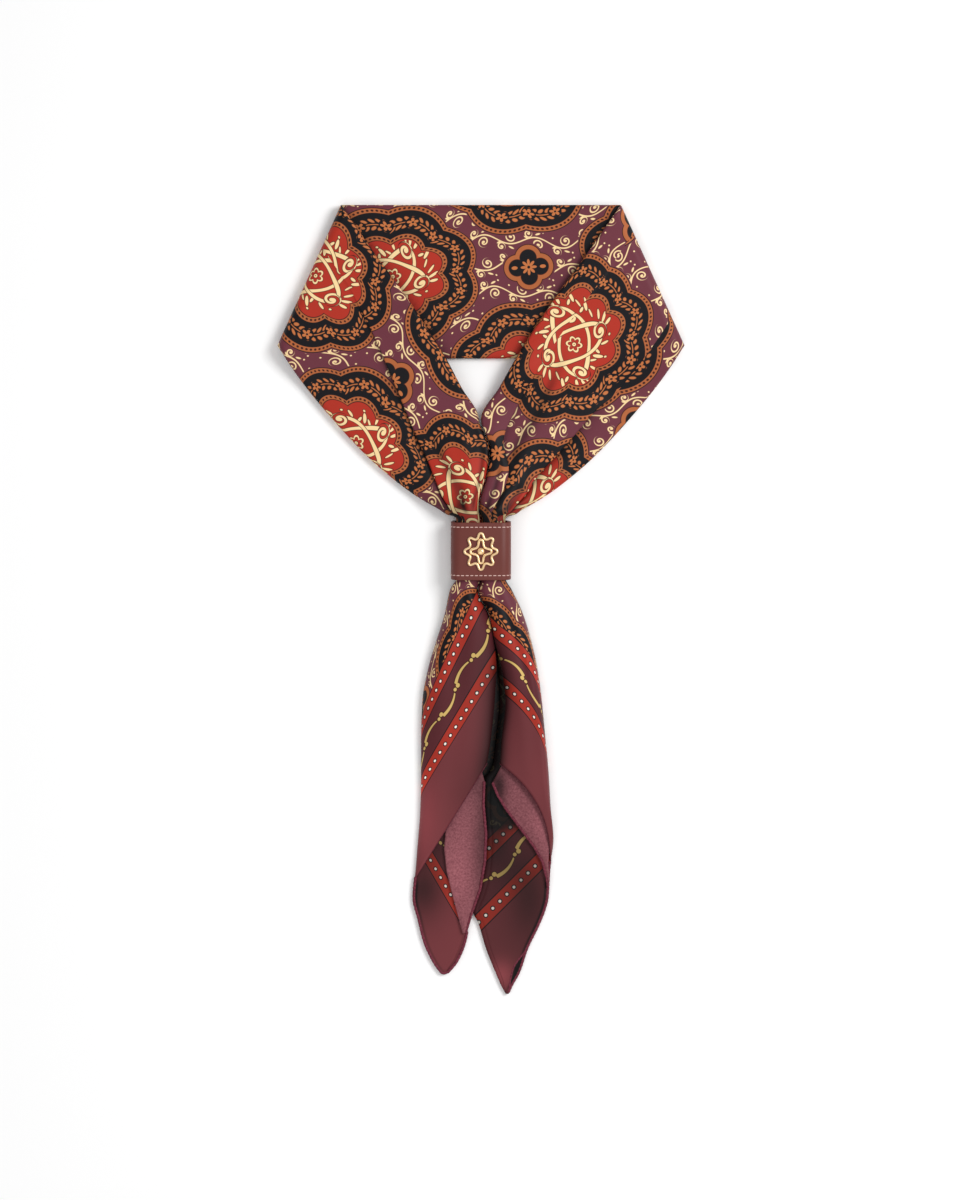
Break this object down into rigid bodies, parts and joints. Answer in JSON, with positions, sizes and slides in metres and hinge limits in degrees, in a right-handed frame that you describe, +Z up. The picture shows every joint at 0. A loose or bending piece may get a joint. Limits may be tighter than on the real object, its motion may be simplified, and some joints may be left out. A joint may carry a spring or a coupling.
{
  "type": "silk square scarf in a leather ring slide",
  "caption": "Printed silk square folded on the bias into a neck band, laid flat as a loop whose ends pass through a leather ring slide and open into pointed tails.",
  "frame": {"origin": "centre of the plan outline, on the surface that the scarf lies on", "axes": "+Z up off the surface, +Y from the tips of the tails to the nape, +X to the right"},
  "size_m": [0.218, 0.4236, 0.0176],
  "materials": {
    "printed_silk": "printed silk twill, soft sheen",
    "border_silk": "printed silk twill, plain dark border",
    "silk_reverse": "paler matt reverse of the silk",
    "leather": "smooth burgundy leather with pale stitching",
    "gilt": "polished pale gilt"
  },
  "bodies": {
    "root": {"nape_stretch": "printed_silk", "left_stretch": "printed_silk", "right_stretch": "printed_silk", "left_tail_front": "border_silk", "right_tail_front": "border_silk", "left_tail_back": "border_silk", "right_tail_back": "border_silk", "left_tail_flap": "silk_reverse", "right_tail_flap": "silk_reverse", "leather_ring": "leather", "rosette_outline": "gilt", "rosette_boss": "gilt"}
  },
  "joints": []
}
